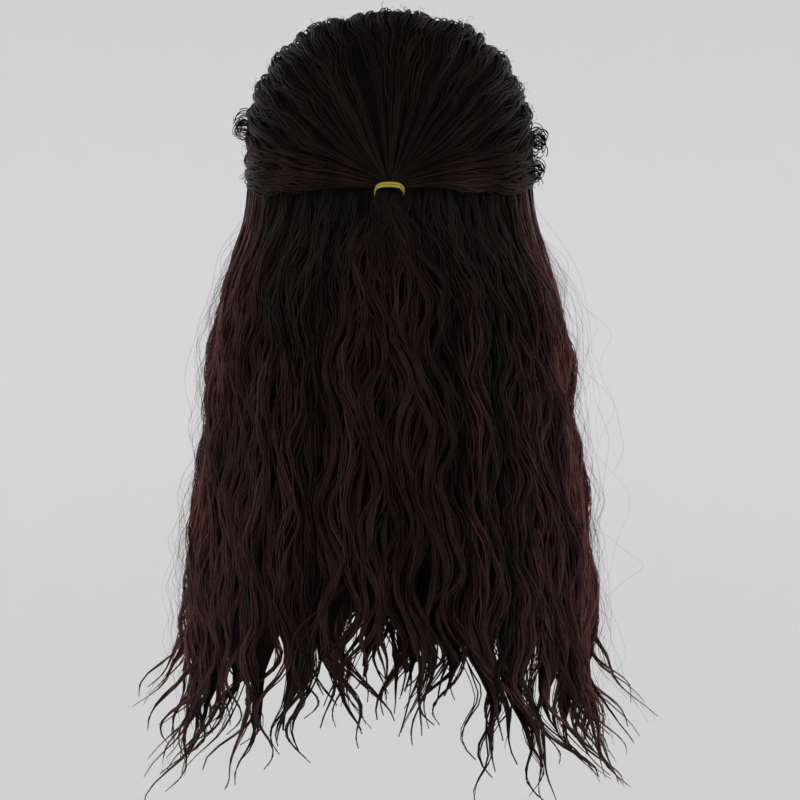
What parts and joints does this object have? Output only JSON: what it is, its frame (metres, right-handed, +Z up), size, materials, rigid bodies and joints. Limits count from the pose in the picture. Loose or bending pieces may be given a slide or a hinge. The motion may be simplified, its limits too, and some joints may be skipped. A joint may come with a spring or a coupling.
{
  "type": "long wavy wig",
  "caption": "Long wavy dark wig, its top hair swept back into a yellow rubber band at the back of the head, held up as a head holds it.",
  "frame": {"origin": "the point inside the cap that sits on the very top of the head", "axes": "+Z up along the standing head, -Y towards the face, +X towards the wearer's left"},
  "size_m": [0.3949, 0.2352, 0.6061],
  "materials": {
    "cap_net": "black-brown stretch net",
    "top_hair": "near-black synthetic fibre with a soft sheen",
    "long_hair": "black-brown synthetic fibre with a red cast and a soft sheen",
    "yellow_rubber": "smooth moulded"
  },
  "bodies": {
    "root": {"wig_cap": "cap_net", "crown_sweep": "top_hair", "temple_sweep_right": "top_hair", "temple_sweep_left": "top_hair", "rubber_band": "yellow_rubber", "gathered_tail": "top_hair", "side_hair_right": "long_hair", "back_hair_right": "long_hair", "back_hair_centre": "long_hair", "back_hair_left": "long_hair", "side_hair_left": "long_hair", "stray_curl_right_upper": "top_hair", "stray_curl_right_lower": "top_hair", "stray_curl_left": "top_hair"}
  },
  "joints": []
}
